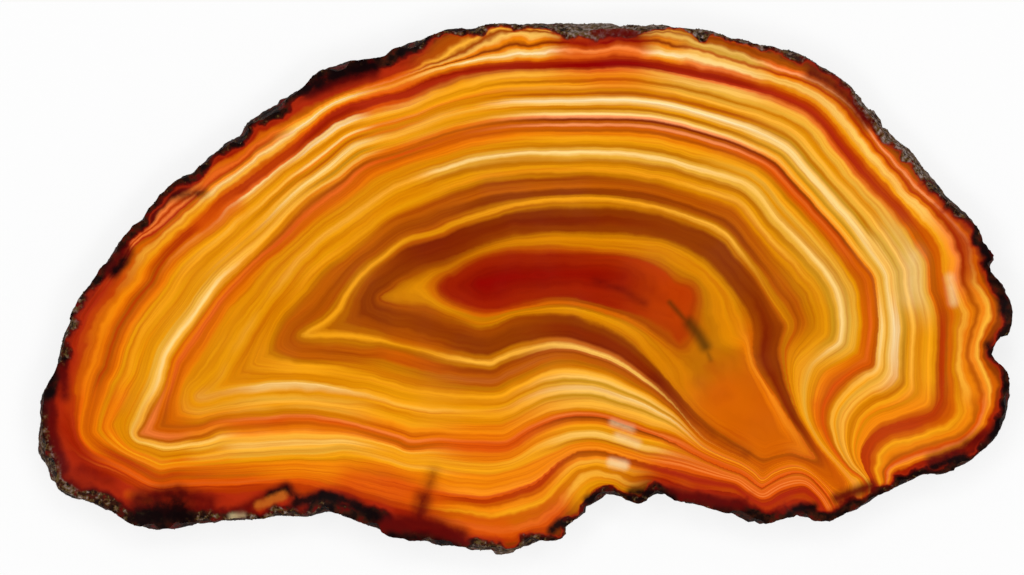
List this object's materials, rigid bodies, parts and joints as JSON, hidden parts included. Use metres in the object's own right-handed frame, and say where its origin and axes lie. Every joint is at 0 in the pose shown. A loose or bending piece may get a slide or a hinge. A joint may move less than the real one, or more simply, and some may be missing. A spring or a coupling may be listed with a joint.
{
  "type": "agate slice",
  "caption": "Flat slice sawn from a banded agate nodule, polished on its face, with the rough natural rind left all round its rim.",
  "frame": {"origin": "middle of the slice's box at its back face, the face it lies on", "axes": "+X along the slice's length, +Y across its width towards the domed side, +Z out of the polished face"},
  "size_m": [0.107, 0.0586, 0.006],
  "materials": {
    "banded_agate": "polished amber, cream and red-brown growth bands, sawn back, rough dark rind on the rim"
  },
  "bodies": {
    "root": {"agate_slice": "banded_agate"}
  },
  "joints": []
}
